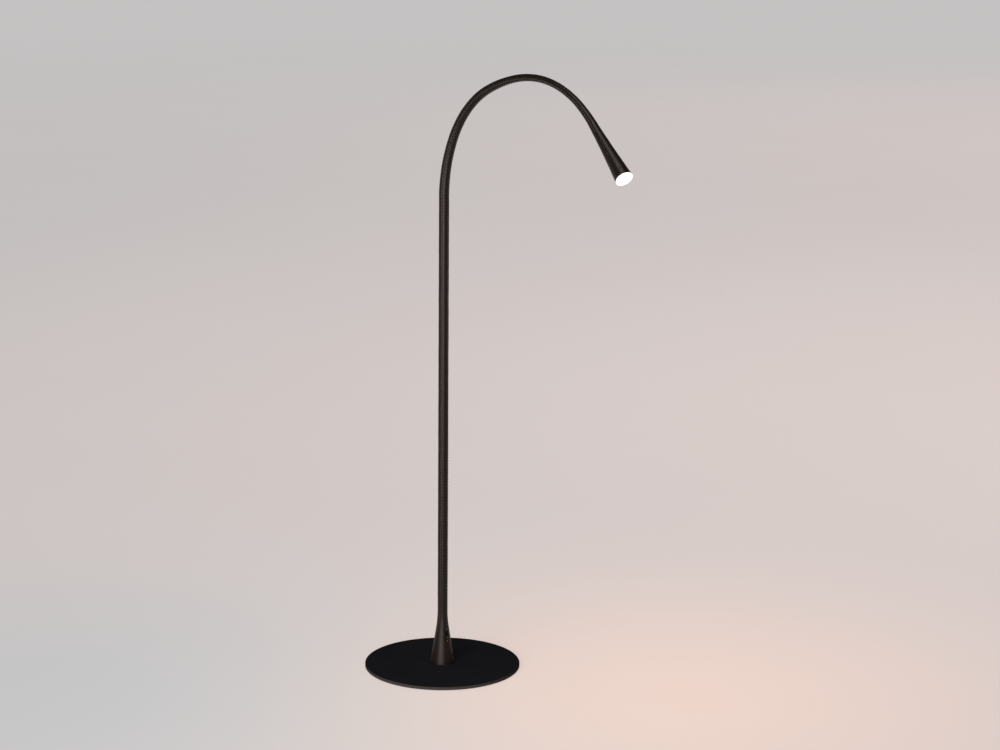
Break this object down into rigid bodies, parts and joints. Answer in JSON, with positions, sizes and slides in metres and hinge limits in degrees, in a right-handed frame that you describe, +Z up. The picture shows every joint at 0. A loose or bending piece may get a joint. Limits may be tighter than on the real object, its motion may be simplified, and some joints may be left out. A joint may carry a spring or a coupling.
{
  "type": "gooseneck reading floor lamp",
  "caption": "Floor lamp with a round plate base, a leather-covered stem on a flared foot, a bendable leather gooseneck and a small conical spot head.",
  "frame": {"origin": "centre of the underside of the base pad, on the floor", "axes": "+Z up along the stem, +X the way the gooseneck first bends"},
  "size_m": [0.6451, 0.3, 1.1561],
  "materials": {
    "plate_paint": "matte dark grey powder coat on steel",
    "pad_rubber": "thin felted rubber pad",
    "zinc_steel": "zinc-plated steel screws",
    "leather": "dark brown leather, fine grain, saddle-stitched",
    "bare_metal": "turned and drawn aluminium, unpolished",
    "link_metal": "die-cast aluminium links",
    "switch_metal": "polished nickel-plated knob",
    "switch_dark": "dark bronze plate",
    "black_plastic": "black moulded plastic",
    "driver_plastic": "potted driver in a pale plastic cup",
    "brass_pin": "brass contact pin",
    "lead_sheath": "black two-core lead",
    "board_white": "white solder mask on an aluminium board",
    "emitter_phosphor": "yellow phosphor dome",
    "reflector_chrome": "metallised reflector",
    "lens_frosted": "frosted diffusing lens, warm white when lit"
  },
  "bodies": {
    "base": {"base_plate": "plate_paint", "base_pad": "pad_rubber", "foot_screws": "zinc_steel", "foot_cone": "bare_metal", "stem_sheath": "leather", "stem_tube": "bare_metal", "stem_ferrule": "bare_metal", "grub_screws": "zinc_steel", "switch_plate": "switch_dark", "switch_screws": "zinc_steel", "switch_body": "black_plastic", "power_socket": "black_plastic", "socket_pin": "brass_pin", "driver_module": "driver_plastic", "foot_wires": "lead_sheath", "lead": "lead_sheath"},
    "knob": {"switch_knob": "switch_metal"},
    "link_1": {"neck_core_1": "link_metal", "neck_sleeve_1": "leather"},
    "link_2": {"neck_core_2": "link_metal", "neck_sleeve_2": "leather"},
    "link_3": {"neck_core_3": "link_metal", "neck_sleeve_3": "leather"},
    "link_4": {"neck_core_4": "link_metal", "neck_sleeve_4": "leather"},
    "link_5": {"neck_core_5": "link_metal", "neck_sleeve_5": "leather"},
    "link_6": {"neck_core_6": "link_metal", "neck_sleeve_6": "leather"},
    "link_7": {"neck_core_7": "link_metal", "neck_sleeve_7": "leather"},
    "link_8": {"neck_core_8": "link_metal", "neck_sleeve_8": "leather"},
    "link_9": {"neck_core_9": "link_metal", "neck_sleeve_9": "leather"},
    "head": {"head_housing": "bare_metal", "head_sleeve": "leather", "heat_sink": "bare_metal", "led_board": "board_white", "board_screws": "zinc_steel", "led_emitter": "emitter_phosphor", "reflector": "reflector_chrome", "front_lens": "lens_frosted"}
  },
  "joints": [
    {"name": "neck_1", "type": "hinge", "parent": "base", "child": "link_1", "pos_m": [0, 0, 0.914], "axis": [0, 1, 0], "range_deg": [-25, 25], "deforming": ["lead"]},
    {"name": "neck_2", "type": "hinge", "parent": "link_1", "child": "link_2", "pos_m": [0.0062, 0, 0.97559], "axis": [0.9786, -0.0523, -0.1991], "range_deg": [-25, 25], "deforming": ["lead"]},
    {"name": "neck_3", "type": "hinge", "parent": "link_2", "child": "link_3", "pos_m": [0.02531, -0.00037, 1.03443], "axis": [0.0988, 0.9946, -0.0321], "range_deg": [-25, 25], "deforming": ["lead"]},
    {"name": "neck_4", "type": "hinge", "parent": "link_3", "child": "link_4", "pos_m": [0.05953, -0.00211, 1.08577], "axis": [0.7203, -0.146, -0.6781], "range_deg": [-25, 25], "deforming": ["lead"]},
    {"name": "neck_5", "type": "hinge", "parent": "link_4", "child": "link_5", "pos_m": [0.109, -0.00645, 1.12229], "axis": [0.1585, 0.9807, -0.1147], "range_deg": [-25, 25], "deforming": ["lead"]},
    {"name": "neck_6", "type": "hinge", "parent": "link_5", "child": "link_6", "pos_m": [0.16686, -0.01336, 1.14312], "axis": [0.2092, -0.1991, -0.9574], "range_deg": [-25, 25], "deforming": ["lead"]},
    {"name": "neck_7", "type": "hinge", "parent": "link_6", "child": "link_7", "pos_m": [0.2276, -0.0229, 1.14939], "axis": [0.1661, 0.9621, -0.2163], "range_deg": [-25, 25], "deforming": ["lead"]},
    {"name": "neck_8", "type": "hinge", "parent": "link_7", "child": "link_8", "pos_m": [0.28722, -0.03552, 1.13905], "axis": [-0.3416, -0.2019, -0.9179], "range_deg": [-25, 25], "deforming": ["lead"]},
    {"name": "neck_9", "type": "hinge", "parent": "link_8", "child": "link_9", "pos_m": [0.34174, -0.05091, 1.11422], "axis": [0.1195, 0.944, -0.3075], "range_deg": [-25, 25], "deforming": ["lead"]},
    {"name": "neck_10", "type": "hinge", "parent": "link_9", "child": "head", "pos_m": [0.38967, -0.06841, 1.07912], "axis": [-0.6893, -0.1954, -0.6977], "range_deg": [-25, 25], "deforming": ["lead"]},
    {"name": "switch_slide", "type": "slide", "parent": "base", "child": "knob", "axis": [-0.1485, 0.044, 0.9879], "range_m": [0, 0.008]}
  ]
}
